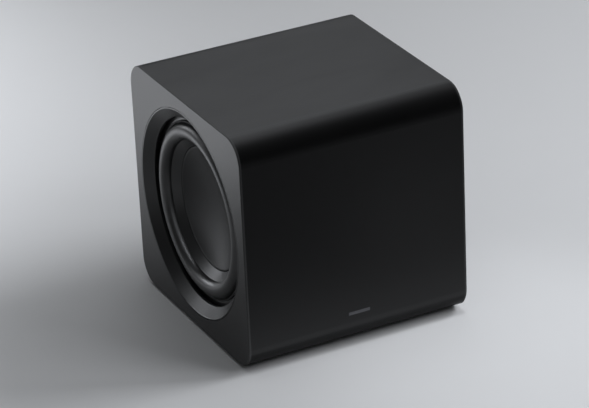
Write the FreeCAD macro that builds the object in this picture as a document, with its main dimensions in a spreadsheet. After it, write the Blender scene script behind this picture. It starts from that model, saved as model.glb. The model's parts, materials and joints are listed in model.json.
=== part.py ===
# A compact cube subwoofer with two opposed drivers, one in each side face.
#
# Frame: origin at the centre of the footprint, on the floor. +Z is up, the front
# face looks along -Y, the rear amplifier panel along +Y, and the drivers face
# -X (left) and +X (right). All sizes are in millimetres.
#
# Round pieces of a driver are turned about its own axis. Their outlines are given
# as (depth, radius): depth is measured inwards from the outer side face.
import FreeCAD
import Part
import Sketcher
import math
import os
import re

SIZES = {
    # cabinet
    "cabinet_width": 249.0,
    "cabinet_side": 249.0,
    "edge_radius": 25.4,
    "wall": 6.0,
    "foot_height": 2.8,
    "fit_gap": 0.2,
    "panel_thickness": 2.4,
    "panel_bevel": 0.7,
    "tongue_depth": 8.0,
    "tongue_wall": 3.0,
    "baffle_depth": 26.0,
    "opening_radius": 111.0,
    # trim ring round the driver
    "ring_radius": 110.3,
    "ring_mouth": 109.2,
    "ring_lip": 0.5,
    "ring_throat": 98.8,
    "flare_depth": 9.0,
    "throat_depth": 12.0,
    "skirt_inner": 106.2,
    "skirt_outer": 111.6,
    "bore_radius": 111.8,
    # driver frame
    "land_depth": 15.5,
    "land_thickness": 0.9,
    "land_radius": 96.0,
    "flange_thickness": 2.2,
    "flange_radius": 105.8,
    "gasket_thickness": 0.8,
    "basket_radius": 92.8,
    "basket_wall": 1.8,
    "bowl_start": 30.0,
    "seat_depth": 62.0,
    "seat_radius": 55.4,
    "tail_radius": 58.0,
    "tail_inner": 51.0,
    "plate_depth": 74.0,
    "clamp_depth": 13.0,
    "clamp_inner": 91.95,
    "clamp_outer": 94.1,
    "window_inner": 62.0,
    "window_outer": 86.0,
    "window_inner_half": 18.0,
    "window_outer_half": 26.0,
    "window_count": 6,
    "screw_circle": 101.6,
    "screw_count": 8,
    "screw_head_radius": 2.7,
    "screw_head_height": 2.2,
    "screw_shank_radius": 2.0,
    "screw_end_depth": 25.0,
    "screw_clearance": 0.3,
    # moving parts of the driver
    "roll_centre_radius": 83.0,
    "roll_centre_depth": 15.9,
    "roll_radius": 8.8,
    "roll_heel": 0.4,
    "foot_end_depth": 17.3,
    "glue_gap": 0.05,
    "cone_rim_depth": 15.9,
    "cone_rim_radius": 74.15,
    "cone_thickness": 1.4,
    "dish_depth": 23.2,
    "dish_radius": 65.9,
    "dish_groove": 1.2,
    "dish_sag": 14.0,
    "dish_thickness": 1.0,
    "coil_inner": 25.4,
    "coil_outer": 25.8,
    "coil_start": 54.0,
    "coil_end": 86.0,
    "winding_outer": 26.9,
    "winding_start": 68.0,
    "spider_thickness": 0.8,
    "spider_wave": 1.5,
    "spider_pitch": 3.0,
    "spider_waves": 8,
    # motor
    "gap_outer": 27.4,
    "top_plate_thickness": 6.0,
    "top_plate_radius": 57.5,
    "magnet_inner": 31.0,
    "magnet_outer": 56.0,
    "magnet_thickness": 18.0,
    "pole_radius": 24.6,
    "pole_top": 2.0,
    "pole_vent": 9.0,
    "yoke_radius": 54.0,
    "yoke_thickness": 7.0,
    "terminal_width": 8.0,
    "terminal_height": 12.0,
    "terminal_thickness": 3.0,
    "wire_radius": 1.6,
    # inside of the cabinet
    "brace_thickness": 8.0,
    "brace_opening": 70.0,
    "brace_cut_start": 60.0,
    "brace_cut_half": 95.0,
    "pad_inner": 10.0,
    "pad_outer": 78.0,
    "pad_thickness": 18.0,
    "pad_half_height": 80.0,
    # front mark, left blank
    "badge_width": 24.0,
    "badge_height": 3.4,
    "badge_thickness": 0.3,
    "badge_height_above_base": 35.0,
    # feet
    "foot_radius": 10.0,
    "foot_spread": 88.0,
    "foot_recess": 1.8,
    "foot_recess_radius": 3.6,
    "foot_screw_head": 3.2,
    "foot_screw_head_height": 1.2,
    "foot_screw_radius": 1.5,
    # rear panel and amplifier
    "rear_thickness": 3.0,
    "rear_half_width": 78.0,
    "rear_half_height": 98.0,
    "rear_corner": 8.0,
    "rear_gasket": 0.6,
    "hatch_half_width": 68.0,
    "hatch_half_height": 88.0,
    "rear_screw_across": 73.0,
    "rear_screw_up": 93.0,
    "rear_screw_radius": 1.4,
    "rear_screw_head": 2.6,
    "rear_screw_sink": 1.4,
    "board_back": 22.0,
    "board_thickness": 1.6,
    "board_half_width": 64.0,
    "board_half_height": 78.0,
    "standoff_radius": 3.0,
    "standoff_across": 58.0,
    "standoff_up": 70.0,
    "controls_drop": 62.0,
    "inlet_across": -30.0,
    "inlet_half_width": 12.0,
    "inlet_half_height": 8.5,
    "inlet_length": 18.0,
    "inlet_cavity_depth": 13.0,
    "inlet_pin_spread": 4.3,
    "inlet_lobe_radius": 4.4,
    "inlet_pin_radius": 1.2,
    "inlet_pin_length": 10.0,
    "button_across": 20.0,
    "button_radius": 3.2,
    "button_guide": 0.3,
    "button_recess": 0.2,
    "button_flange_radius": 4.4,
    "button_flange_thickness": 1.6,
    "button_stem_radius": 1.5,
    "button_stem_length": 3.7,
    "button_travel": 0.8,
    "spring_inner": 1.9,
    "spring_outer": 2.9,
    "switch_half": 4.5,
    "lamp_across": 36.0,
    "lamp_radius": 1.2,
    "lamp_block_half": 1.6,
    "lamp_block_height": 2.0,
    "sink_half_width": 34.0,
    "sink_low": 20.0,
    "sink_high": 62.0,
    "sink_base": 6.0,
    "sink_depth": 30.0,
    "sink_fin": 2.0,
    "sink_fin_count": 9,
    "choke_size": 32.0,
    "choke_across": -30.0,
    "choke_drop": 46.0,
    "can_radius": 11.0,
    "can_length": 36.0,
    "can_first": 18.0,
    "can_pitch": 25.0,
    "can_drop": 40.0,
    "radio_width": 20.0,
    "radio_height": 10.0,
    "radio_thickness": 3.0,
    "radio_across": 50.0,
    "radio_up": 70.0,
}

doc = FreeCAD.newDocument("Subwoofer")
sheet = doc.addObject("Spreadsheet::Sheet", "Sizes")
for row, (alias, value) in enumerate(SIZES.items(), 1):
    sheet.set(f"A{row}", alias)
    sheet.set(f"B{row}", str(value))
    sheet.setAlias(f"B{row}", alias)
doc.recompute()

nodes = []
SIDES = {"left": -1, "right": 1}


# ---------------------------------------------------------------- expressions
def bound(text):
    """The expression with every named size pointing at its cell."""
    return re.sub(r"[a-z][a-z_]+", lambda m: f"Sizes.{m[0]}" if m[0] in SIZES else m[0], str(text))


def value_of(text):
    """The number an expression works out to."""
    return float(sheet.evalExpression(bound(text)))


def bind(item, **expressions):
    """Bind properties to expressions; a double underscore stands for a dot."""
    for name, text in expressions.items():
        item.setExpression(name.replace("__", "."), bound(text))
    return item


def place(item, x="0", y="0", z="0", axis=None, angle=0):
    """Set the turn of an item and bind its position."""
    turn = FreeCAD.Rotation(FreeCAD.Vector(*(axis or (0, 0, 1))), angle)
    item.Placement = FreeCAD.Placement(FreeCAD.Vector(), turn)
    return bind(item, Placement__Base__x=x, Placement__Base__y=y, Placement__Base__z=z)


def as_node(item, label):
    """Name a finished sub-part and put it on the list of files to write."""
    item.Label = label
    nodes.append(item)
    return item


# ------------------------------------------------------------------- sketches
def new_sketch(body, role, lift="0"):
    """An empty sketch on one of the body's own origin planes, lifted along its normal."""
    plane = next(f for f in body.Origin.OriginFeatures if f.Role == role)
    sketch = body.newObject("Sketcher::SketchObject", "Sketch")
    sketch.AttachmentSupport = [(plane, "")]
    sketch.MapMode = "FlatFace"
    bind(sketch, AttachmentOffset__Base__z=lift)
    return sketch


def pin_point(sketch, geometry, position, across, up):
    """Bind one sketch point's distances from the origin."""
    for kind, text in (("DistanceX", across), ("DistanceY", up)):
        rule = Sketcher.Constraint(kind, -1, 1, geometry, position, value_of(text))
        index = sketch.addConstraint(rule)
        sketch.setExpression(f"Constraints[{index}]", bound(text))


def arc_between(start, end, radius, bulge):
    """The short arc from start to end; bulge 1 passes left of the chord, -1 right of it."""
    chord = end - start
    left = FreeCAD.Vector(-chord.y, chord.x, 0).normalize()
    rise = math.sqrt(radius ** 2 - chord.Length ** 2 / 4)
    centre = (start + end) / 2 - left * rise * bulge
    first = math.atan2(start.y - centre.y, start.x - centre.x)
    last = math.atan2(end.y - centre.y, end.x - centre.x)
    if bulge > 0:
        first, last = last, first
    circle = Part.Circle(centre, FreeCAD.Vector(0, 0, 1), radius)
    return Part.ArcOfCircle(circle, first, last)


def outline(sketch, corners):
    """A closed outline. A corner is (across, up), or (across, up, radius, bulge)
    where the side that leaves it is an arc."""
    count = len(corners)
    points = [FreeCAD.Vector(value_of(c[0]), value_of(c[1]), 0) for c in corners]
    ends = []
    for i, corner in enumerate(corners):
        start, end = points[i], points[(i + 1) % count]
        if len(corner) == 2:
            ends.append((sketch.addGeometry(Part.LineSegment(start, end)), 1, 2))
            continue
        radius, bulge = corner[2:]
        index = sketch.addGeometry(arc_between(start, end, value_of(radius), bulge))
        ends.append((index, 2, 1) if bulge > 0 else (index, 1, 2))
        rule = Sketcher.Constraint("Radius", index, value_of(radius))
        number = sketch.addConstraint(rule)
        sketch.setExpression(f"Constraints[{number}]", bound(radius))
    for i in range(count):
        here, before = ends[i], ends[i - 1]
        sketch.addConstraint(Sketcher.Constraint("Coincident", before[0], before[2], here[0], here[1]))
        pin_point(sketch, here[0], here[1], corners[i][0], corners[i][1])
    return sketch


def ring(sketch, across, up, radius):
    """A circle in a sketch."""
    centre = FreeCAD.Vector(value_of(across), value_of(up), 0)
    circle = Part.Circle(centre, FreeCAD.Vector(0, 0, 1), value_of(radius))
    index = sketch.addGeometry(circle)
    pin_point(sketch, index, 3, across, up)
    number = sketch.addConstraint(Sketcher.Constraint("Radius", index, value_of(radius)))
    sketch.setExpression(f"Constraints[{number}]", bound(radius))


def rectangle(half_width, half_height, across="0", up="0"):
    """The corners of a rectangle about a centre."""
    return [
        (f"{across} + {a} * ({half_width})", f"{up} + {b} * ({half_height})")
        for a, b in ((-1, -1), (1, -1), (1, 1), (-1, 1))
    ]


def rounded(half_width, half_height, radius):
    """The corners of a rectangle with rounded corners, about the origin."""
    w, h, r = f"({half_width})", f"({half_height})", f"({radius})"
    return [
        (f"{r} - {w}", f"-{h}"),
        (f"{w} - {r}", f"-{h}", radius, -1),
        (w, f"{r} - {h}"),
        (w, f"{h} - {r}", radius, -1),
        (f"{w} - {r}", h),
        (f"{r} - {w}", h, radius, -1),
        (f"-{w}", f"{h} - {r}"),
        (f"-{w}", f"{r} - {h}", radius, -1),
    ]


# ------------------------------------------------------------------- features
def new_body(label):
    """An empty body at the cabinet's centre, which is its own origin."""
    body = doc.addObject("PartDesign::Body", "Body")
    place(body, z="foot_height + cabinet_side / 2")
    return as_node(body, label)


def driver_body(label, side):
    """An empty body at the centre of a side face, with its X axis pointing into the cabinet."""
    body = new_body(f"{label}_{side}")
    sign = SIDES[side]
    turn = 0 if sign < 0 else 180
    return place(body, f"{sign} * cabinet_width / 2", "0", "foot_height + cabinet_side / 2", (0, 0, 1), turn)


def pad(body, sketch, length, reverse=False):
    """Raise a sketch into a solid."""
    feature = body.newObject("PartDesign::Pad", "Pad")
    feature.Profile = (sketch, [""])
    feature.Reversed = reverse
    bind(feature, Length=length)
    doc.recompute()
    return feature


def pocket(body, sketch, reverse=False, length=None):
    """Cut a sketch through the solid, or to a length, and make sure that it cuts."""
    before = body.Shape.Volume
    feature = body.newObject("PartDesign::Pocket", "Pocket")
    feature.Profile = (sketch, [""])
    feature.Reversed = reverse
    if length is None:
        feature.Type = "ThroughAll"
    else:
        bind(feature, Length=length)
    doc.recompute()
    assert body.Shape.Volume < before - 0.01, f"{body.Label}: a pocket cut nothing"
    return feature


def polar(body, feature, sketch, axis, count):
    """Repeat a feature evenly round an axis."""
    pattern = body.newObject("PartDesign::PolarPattern", "PolarPattern")
    pattern.Originals = [feature]
    pattern.Axis = (sketch, [axis])
    pattern.Angle = 360
    bind(pattern, Occurrences=count)
    body.Tip = pattern
    doc.recompute()
    return pattern


def turned(label, side, corners):
    """A sub-part of a driver, turned about the driver's axis from a (depth, radius) outline."""
    body = driver_body(label, side)
    sketch = outline(new_sketch(body, "XY_Plane"), corners)
    revolution = body.newObject("PartDesign::Revolution", "Revolution")
    revolution.Profile = (sketch, [""])
    revolution.ReferenceAxis = (sketch, ["H_Axis"])
    revolution.Angle = 360
    doc.recompute()
    return body


def tube(label, side, depths, radii):
    """A plain ring of a driver, between two depths and two radii."""
    (front, back), (inner, outer) = depths, radii
    return turned(label, side, [(front, inner), (front, outer), (back, outer), (back, inner)])


def holes_round_axis(body, depth, circle, radius, count):
    """A ring of equal holes along the driver's axis, inwards from a depth."""
    half_turn = f"180deg / {count}"
    sketch = new_sketch(body, "YZ_Plane", depth)
    ring(sketch, f"({circle}) * cos({half_turn})", f"({circle}) * sin({half_turn})", radius)
    feature = pocket(body, sketch, reverse=True)
    polar(body, feature, sketch, "N_Axis", count)


# ------------------------------------------------------------ plain Part shapes
def block(x_range, y_range, z_range):
    """A box between three pairs of limits, with z counted from the cabinet's centre."""
    box = doc.addObject("Part::Box", "Box")
    lows = [f"({pair[0]})" for pair in (x_range, y_range, z_range)]
    highs = [f"({pair[1]})" for pair in (x_range, y_range, z_range)]
    length, width, height = (f"{high} - {low}" for low, high in zip(lows, highs))
    bind(box, Length=length, Width=width, Height=height)
    return place(box, lows[0], lows[1], f"{lows[2]} + foot_height + cabinet_side / 2")


def rod_y(across, up, low, high, radius):
    """A cylinder along Y, with up counted from the cabinet's centre."""
    rod = doc.addObject("Part::Cylinder", "Cylinder")
    bind(rod, Radius=radius, Height=f"({high}) - ({low})")
    return place(rod, across, low, f"({up}) + foot_height + cabinet_side / 2", (1, 0, 0), -90)


def rod_z(across, along, low, high, radius):
    """A cylinder along Z, with its ends counted from the floor."""
    rod = doc.addObject("Part::Cylinder", "Cylinder")
    bind(rod, Radius=radius, Height=f"({high}) - ({low})")
    return place(rod, across, along, low)


def joined(items):
    """Several shapes fused into one."""
    fuse = doc.addObject("Part::MultiFuse", "Fusion")
    fuse.Shapes = items
    return fuse


def cut(base, tool):
    """One shape cut from another."""
    result = doc.addObject("Part::Cut", "Cut")
    result.Base = base
    result.Tool = tool
    doc.recompute()
    assert result.Shape.Volume < base.Shape.Volume - 0.01, "a cut removed nothing"
    return result


def group(items):
    """Separate solids kept together as one node."""
    compound = doc.addObject("Part::Compound", "Group")
    compound.Links = items
    return compound


# ------------------------------------------------------------------ the cabinet
HALF_SIDE = "cabinet_side / 2"
INNER_HALF = "(cabinet_side / 2 - wall)"
INNER_RADIUS = "edge_radius - wall"
TONGUE_HALF = "cabinet_side / 2 - wall - fit_gap"
TONGUE_RADIUS = "edge_radius - wall - fit_gap"
SLEEVE_LENGTH = "cabinet_width - 2 * panel_thickness"
PANEL_FACE = "cabinet_side / 2 - rear_thickness"
BADGE_UP = "badge_height_above_base - cabinet_side / 2"
REAR_SCREWS = [
    (f"{a} * rear_screw_across", f"{b} * rear_screw_up")
    for a, b in ((-1, -1), (0, -1), (1, -1), (-1, 0), (1, 0), (-1, 1), (0, 1), (1, 1))
]
FEET = [
    (f"{a} * foot_spread", f"{b} * foot_spread") for a, b in ((-1, -1), (1, -1), (1, 1), (-1, 1))
]


def cabinet_wrap():
    """The smooth sleeve that forms the top, bottom, front and rear in one skin."""
    body = new_body("cabinet_wrap")
    sleeve = new_sketch(body, "YZ_Plane", f"-({SLEEVE_LENGTH}) / 2")
    outline(sleeve, rounded(HALF_SIDE, HALF_SIDE, "edge_radius"))
    outline(sleeve, rounded(INNER_HALF, INNER_HALF, INNER_RADIUS))
    pad(body, sleeve, SLEEVE_LENGTH)
    hatch = outline(new_sketch(body, "XZ_Plane"), rectangle("hatch_half_width", "hatch_half_height"))
    pocket(body, hatch)
    rebate = new_sketch(body, "XZ_Plane", f"rear_gasket - ({PANEL_FACE})")
    outline(
        rebate,
        rounded("rear_half_width + fit_gap", "rear_half_height + fit_gap", "rear_corner + fit_gap"),
    )
    pocket(body, rebate)
    pilots = new_sketch(body, "XZ_Plane")
    for across, up in REAR_SCREWS:
        ring(pilots, across, up, "rear_screw_radius + glue_gap")
    pocket(body, pilots)
    mark = new_sketch(body, "XZ_Plane", f"{HALF_SIDE} - badge_thickness")
    outline(
        mark,
        rectangle("badge_width / 2 + glue_gap", "badge_height / 2 + glue_gap", "0", BADGE_UP),
    )
    pocket(body, mark, reverse=True)
    screw_holes = new_sketch(body, "XY_Plane")
    for across, along in FEET:
        ring(screw_holes, across, along, "foot_screw_radius + glue_gap")
    pocket(body, screw_holes)


def side_panel(side):
    """The flat, grained side panel with its round opening and a tongue that fits in the sleeve."""
    body = driver_body("side_panel", side)
    face = outline(new_sketch(body, "YZ_Plane"), rounded(HALF_SIDE, HALF_SIDE, "edge_radius"))
    skin = pad(body, face, "panel_thickness")
    rim = [
        f"Edge{i}"
        for i, edge in enumerate(skin.Shape.Edges, 1)
        if abs(edge.BoundBox.XMax) < 0.001
    ]
    bevel = body.newObject("PartDesign::Chamfer", "Chamfer")
    bevel.Base = (skin, rim)
    bind(bevel, Size="panel_bevel")
    doc.recompute()
    tongue = new_sketch(body, "YZ_Plane", "panel_thickness")
    outline(tongue, rounded(TONGUE_HALF, TONGUE_HALF, TONGUE_RADIUS))
    inner = f"{TONGUE_HALF} - tongue_wall"
    outline(tongue, rounded(inner, inner, f"{TONGUE_RADIUS} - tongue_wall"))
    pad(body, tongue, "tongue_depth - panel_thickness")
    opening = new_sketch(body, "YZ_Plane")
    ring(opening, "0", "0", "opening_radius")
    pocket(body, opening, reverse=True)


def baffle(side):
    """The thick board behind the side panel that carries the driver on a stepped bore."""
    body = driver_body("baffle", side)
    board = new_sketch(body, "YZ_Plane", "tongue_depth")
    outline(board, rounded(TONGUE_HALF, TONGUE_HALF, TONGUE_RADIUS))
    ring(board, "0", "0", "basket_radius + screw_clearance * 2")
    pad(body, board, "baffle_depth - tongue_depth")
    bore = new_sketch(body, "YZ_Plane", "tongue_depth")
    ring(bore, "0", "0", "bore_radius")
    pocket(body, bore, reverse=True, length=f"{LEDGE} - tongue_depth")
    holes_round_axis(body, LEDGE, "screw_circle", "screw_shank_radius + glue_gap", "screw_count")


def brace():
    """The board across the middle that stiffens the sleeve, open at the rear for the amplifier."""
    body = new_body("internal_brace")
    board = new_sketch(body, "YZ_Plane", "-brace_thickness / 2")
    outline(board, rounded(TONGUE_HALF, TONGUE_HALF, TONGUE_RADIUS))
    pad(body, board, "brace_thickness")
    opening = new_sketch(body, "YZ_Plane", "-brace_thickness / 2")
    ring(opening, "0", "0", "brace_opening")
    pocket(body, opening, reverse=True)
    notch = new_sketch(body, "YZ_Plane", "-brace_thickness / 2")
    outline(notch, [
        ("brace_cut_start", "-brace_cut_half"),
        ("cabinet_side", "-brace_cut_half"),
        ("cabinet_side", "brace_cut_half"),
        ("brace_cut_start", "brace_cut_half"),
    ])
    pocket(body, notch, reverse=True)


def damping_pads():
    """Soft wadding against the inside of the front wall, one pad on each side of the brace."""
    back = f"fit_gap - {INNER_HALF}"
    for side, ends in {"left": ("-pad_outer", "-pad_inner"), "right": ("pad_inner", "pad_outer")}.items():
        item = block(ends, (back, f"{back} + pad_thickness"), ("-pad_half_height", "pad_half_height"))
        as_node(item, f"damping_pad_{side}")


def front_badge():
    """A small blank bar let in flush near the bottom of the front."""
    item = block(
        ("-badge_width / 2", "badge_width / 2"),
        (f"-{HALF_SIDE}", f"badge_thickness - {HALF_SIDE}"),
        (f"{BADGE_UP} - badge_height / 2", f"{BADGE_UP} + badge_height / 2"),
    )
    as_node(item, "front_badge")


def feet():
    """Four thin rubber discs, each with a countersunk screw up into the sleeve."""
    pads, screws = [], []
    for across, along in FEET:
        disc = rod_z(across, along, "0", "foot_height", "foot_radius")
        recess = rod_z(across, along, "-1", "foot_recess", "foot_recess_radius")
        hole = rod_z(across, along, "0", "foot_height + 1", "foot_screw_radius + glue_gap")
        pads.append(cut(disc, joined([recess, hole])))
        head_low = "foot_recess - foot_screw_head_height"
        head = rod_z(across, along, head_low, "foot_recess", "foot_screw_head")
        shank = rod_z(across, along, head_low, "foot_height + wall", "foot_screw_radius")
        screws.append(joined([head, shank]))
    as_node(group(pads), "rubber_feet")
    as_node(group(screws), "foot_screws")


# ------------------------------------------------------------------- the drivers
FLANGE_FRONT = "(land_depth + land_thickness)"
FLANGE_BACK = "(land_depth + land_thickness + flange_thickness)"
LEDGE = "(land_depth + land_thickness + flange_thickness + gasket_thickness)"
CONE_SLOPE = "((dish_depth - cone_rim_depth) / (cone_rim_radius - dish_radius))"
ROLL_SPAN = "sqrt(roll_radius ^ 2 - (roll_centre_depth - land_depth) ^ 2)"
MAGNET_FRONT = "(plate_depth + top_plate_thickness)"
MAGNET_BACK = "(plate_depth + top_plate_thickness + magnet_thickness)"


def trim_ring(side):
    """The flared ring that dresses the opening and hides the driver's screws."""
    turned("trim_ring", side, [
        ("0", "ring_radius"),
        ("0", "ring_mouth"),
        ("ring_lip", "ring_mouth - ring_lip"),
        ("flare_depth", "ring_throat"),
        ("throat_depth", "ring_throat"),
        ("throat_depth", "skirt_inner"),
        (LEDGE, "skirt_inner"),
        (LEDGE, "skirt_outer"),
        ("panel_thickness", "skirt_outer"),
        ("panel_thickness", "ring_radius"),
    ])


def basket(side):
    """The driver's open metal frame: flange, spoked bowl and the seat for the spider."""
    inner = "basket_radius - basket_wall"
    body = turned("basket", side, [
        (FLANGE_FRONT, inner),
        (FLANGE_FRONT, "flange_radius"),
        (FLANGE_BACK, "flange_radius"),
        (FLANGE_BACK, "basket_radius"),
        ("bowl_start", "basket_radius"),
        ("seat_depth", "tail_radius"),
        ("plate_depth", "tail_radius"),
        ("plate_depth", "tail_inner"),
        ("seat_depth", "tail_inner"),
        ("seat_depth", "seat_radius"),
        ("seat_depth - basket_wall", "seat_radius"),
        ("bowl_start", inner),
    ])
    window = new_sketch(body, "YZ_Plane", FLANGE_BACK)
    outline(window, [
        ("window_inner", "-window_inner_half"),
        ("window_outer", "-window_outer_half"),
        ("window_outer", "window_outer_half"),
        ("window_inner", "window_inner_half"),
    ])
    opening = pocket(body, window, reverse=True)
    polar(body, opening, window, "N_Axis", "window_count")
    clearance = "screw_shank_radius + screw_clearance"
    holes_round_axis(body, "clamp_depth", "screw_circle", clearance, "screw_count")


def mounting_gasket(side):
    """The soft seal between the flange and the baffle's ledge."""
    radii = ("basket_radius + screw_clearance * 2", "flange_radius")
    body = tube("mounting_gasket", side, (FLANGE_BACK, LEDGE), radii)
    clearance = "screw_shank_radius + screw_clearance"
    holes_round_axis(body, "clamp_depth", "screw_circle", clearance, "screw_count")


def driver_screws(side):
    """The ring of screws that hold one driver, kept as separate solids."""
    body = driver_body("driver_screws", side)
    half_turn = "180deg / screw_count"
    centre = (f"screw_circle * cos({half_turn})", f"screw_circle * sin({half_turn})")
    head = new_sketch(body, "YZ_Plane", f"{FLANGE_FRONT} - screw_head_height")
    ring(head, *centre, "screw_head_radius")
    first = pad(body, head, "screw_head_height")
    shank = new_sketch(body, "YZ_Plane", FLANGE_FRONT)
    ring(shank, *centre, "screw_shank_radius")
    second = pad(body, shank, f"screw_end_depth - {FLANGE_FRONT}")
    pattern = polar(body, first, head, "N_Axis", "screw_count")
    pattern.Originals = [first, second]
    doc.recompute()


def surround(side):
    """The half-roll of rubber between the frame and the cone."""
    inner_foot = f"roll_centre_radius - {ROLL_SPAN}"
    outer_foot = f"roll_centre_radius + {ROLL_SPAN}"
    back_radius = "(roll_radius - land_thickness)"
    back_span = f"sqrt({back_radius} ^ 2 - roll_heel ^ 2)"
    inner_back = f"roll_centre_radius - {back_span}"
    outer_back = f"roll_centre_radius + {back_span}"
    turned("surround", side, [
        ("foot_end_depth", inner_foot),
        ("land_depth", inner_foot, "roll_radius", 1),
        ("land_depth", outer_foot),
        ("land_depth", "land_radius"),
        (FLANGE_FRONT, "land_radius"),
        (FLANGE_FRONT, outer_back),
        ("roll_centre_depth - roll_heel", outer_back, back_radius, -1),
        ("roll_centre_depth - roll_heel", inner_back),
        ("foot_end_depth", inner_back),
    ])


def cone(side):
    """The cone, from its outer rim down to the neck on the voice coil."""
    neck = "coil_outer + glue_gap"
    neck_depth = f"cone_rim_depth + (cone_rim_radius - ({neck})) * {CONE_SLOPE}"
    turned("cone", side, [
        ("cone_rim_depth", "cone_rim_radius"),
        ("cone_rim_depth + cone_thickness", "cone_rim_radius"),
        (f"{neck_depth} + cone_thickness", neck),
        (neck_depth, neck),
    ])


def dust_cap(side):
    """The large concave dish that closes the middle of the cone."""
    edge = "(dish_radius - dish_groove)"
    front_curve = f"({edge} ^ 2 + dish_sag ^ 2) / (2 * dish_sag)"
    turned("dust_cap", side, [
        ("dish_depth + dish_sag", "0"),
        ("dish_depth + dish_sag + dish_thickness", "0", f"{front_curve} + dish_thickness", -1),
        ("dish_depth + dish_thickness", edge),
        ("dish_depth", edge, front_curve, 1),
    ])


def voice_coil(side):
    """The thin former tube and the copper winding on its rear end."""
    tube("voice_coil_former", side, ("coil_start", "coil_end"), ("coil_inner", "coil_outer"))
    tube("voice_coil_winding", side, ("winding_start", "coil_end"), ("coil_outer", "winding_outer"))


def spider(side):
    """The corrugated cloth disc that centres the voice coil."""
    neck = "coil_outer + glue_gap"
    start = "tail_inner - spider_pitch * spider_waves"
    middle = "seat_depth - spider_thickness"
    waves = []
    for i in range(int(SIZES["spider_waves"]) + 1):
        swing = 0 if i in (0, int(SIZES["spider_waves"])) else (-1) ** i
        waves.append((f"{middle} + {swing} * spider_wave", f"{start} + {i} * spider_pitch"))
    front = [(middle, neck)] + waves + [(middle, "seat_radius")]
    back = [(f"{depth} + spider_thickness", radius) for depth, radius in reversed(front)]
    turned("spider", side, front + back)


def motor(side):
    """The top plate, ring magnet and one-piece yoke with its vented pole."""
    tube("top_plate", side, ("plate_depth", MAGNET_FRONT), ("gap_outer", "top_plate_radius"))
    tube("magnet", side, (MAGNET_FRONT, MAGNET_BACK), ("magnet_inner", "magnet_outer"))
    turned("yoke", side, [
        ("plate_depth - pole_top", "pole_vent"),
        ("plate_depth - pole_top", "pole_radius"),
        (MAGNET_BACK, "pole_radius"),
        (MAGNET_BACK, "yoke_radius"),
        (f"{MAGNET_BACK} + yoke_thickness", "yoke_radius"),
        (f"{MAGNET_BACK} + yoke_thickness", "pole_vent"),
    ])


def terminal_and_wire(side):
    """The tag strip on the frame's tail, and the cable from it to the amplifier board."""
    sign = SIDES[side]
    middle = f"{sign} * (cabinet_width / 2 - (seat_depth + plate_depth) / 2)"
    front = "tail_radius + glue_gap"
    strip = block(
        (f"{middle} - terminal_width / 2", f"{middle} + terminal_width / 2"),
        (front, f"{front} + terminal_thickness"),
        ("-terminal_height / 2", "terminal_height / 2"),
    )
    as_node(strip, f"terminal_strip_{side}")
    across = value_of(middle)
    level = value_of("foot_height + cabinet_side / 2")
    start = value_of(f"{front} + terminal_thickness")
    end = value_of(BOARD_FRONT)
    run = (end - start) / 3
    route = [
        FreeCAD.Vector(across, start, level),
        FreeCAD.Vector(across, start + run, level),
        FreeCAD.Vector(across - sign * run / 3, start + 2 * run, level + run),
        FreeCAD.Vector(across - sign * run / 3, end, level + run),
    ]
    cable = doc.addObject("Part::Feature", "Cable")
    cable.Shape = cable_along(route, value_of("wire_radius"))
    cable.Placement = FreeCAD.Placement()
    as_node(cable, f"driver_cable_{side}")


def cable_along(route, radius):
    """A round cable along straight runs joined by tangent arcs."""
    edges = []
    here = route[0]
    for before, corner, after in zip(route, route[1:], route[2:]):
        back = before - corner
        ahead = after - corner
        reach = 0.45 * min(back.Length, ahead.Length)
        back.normalize()
        ahead.normalize()
        entry = corner + back * reach
        leave = corner + ahead * reach
        half_turn = (math.pi - back.getAngle(ahead)) / 2
        bend = reach / math.tan(half_turn)
        centre_way = (back + ahead).normalize()
        middle = corner + centre_way * (bend / math.cos(half_turn) - bend)
        edges.append(Part.LineSegment(here, entry).toShape())
        edges.append(Part.Arc(entry, middle, leave).toShape())
        print(f"cable bend radius {bend:.1f}")
        here = leave
    edges.append(Part.LineSegment(here, route[-1]).toShape())
    path = Part.Wire(edges)
    direction = (route[1] - route[0]).normalize()
    section = Part.Wire(Part.makeCircle(radius, route[0], direction))
    solid = path.makePipeShell([section], True, False)
    expected = math.pi * radius ** 2 * path.Length
    assert abs(solid.Volume / expected - 1) < 0.01, "the cable's volume is wrong"
    return solid


# --------------------------------------------------- rear panel and electronics
BOARD_BACK = f"({PANEL_FACE} - board_back)"
BOARD_FRONT = f"({PANEL_FACE} - board_back - board_thickness)"
REAR = f"({HALF_SIDE})"


def rear_panel():
    """The flush rear panel with openings for the inlet, the button and the lamp."""
    body = new_body("rear_panel")
    plate = new_sketch(body, "XZ_Plane", f"-({PANEL_FACE})")
    outline(plate, rounded("rear_half_width", "rear_half_height", "rear_corner"))
    ring(plate, "button_across", "-controls_drop", "button_radius + button_guide")
    ring(plate, "lamp_across", "-controls_drop", "lamp_radius + glue_gap")
    outline(plate, rectangle(
        "inlet_half_width + glue_gap", "inlet_half_height + glue_gap", "inlet_across", "-controls_drop",
    ))
    for across, up in REAR_SCREWS:
        ring(plate, across, up, "rear_screw_radius + fit_gap")
    pad(body, plate, "rear_thickness", reverse=True)
    sinks = new_sketch(body, "XZ_Plane", f"rear_screw_sink - {REAR}")
    for across, up in REAR_SCREWS:
        ring(sinks, across, up, "rear_screw_head + fit_gap")
    pocket(body, sinks)


def rear_gasket():
    """The thin seal between the rear panel and the sleeve's rebate."""
    body = new_body("rear_gasket")
    frame = new_sketch(body, "XZ_Plane", f"-({PANEL_FACE})")
    outline(frame, rounded("rear_half_width", "rear_half_height", "rear_corner"))
    outline(frame, rectangle("hatch_half_width", "hatch_half_height"))
    for across, up in REAR_SCREWS:
        ring(frame, across, up, "rear_screw_radius + fit_gap")
    pad(body, frame, "rear_gasket")


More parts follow.
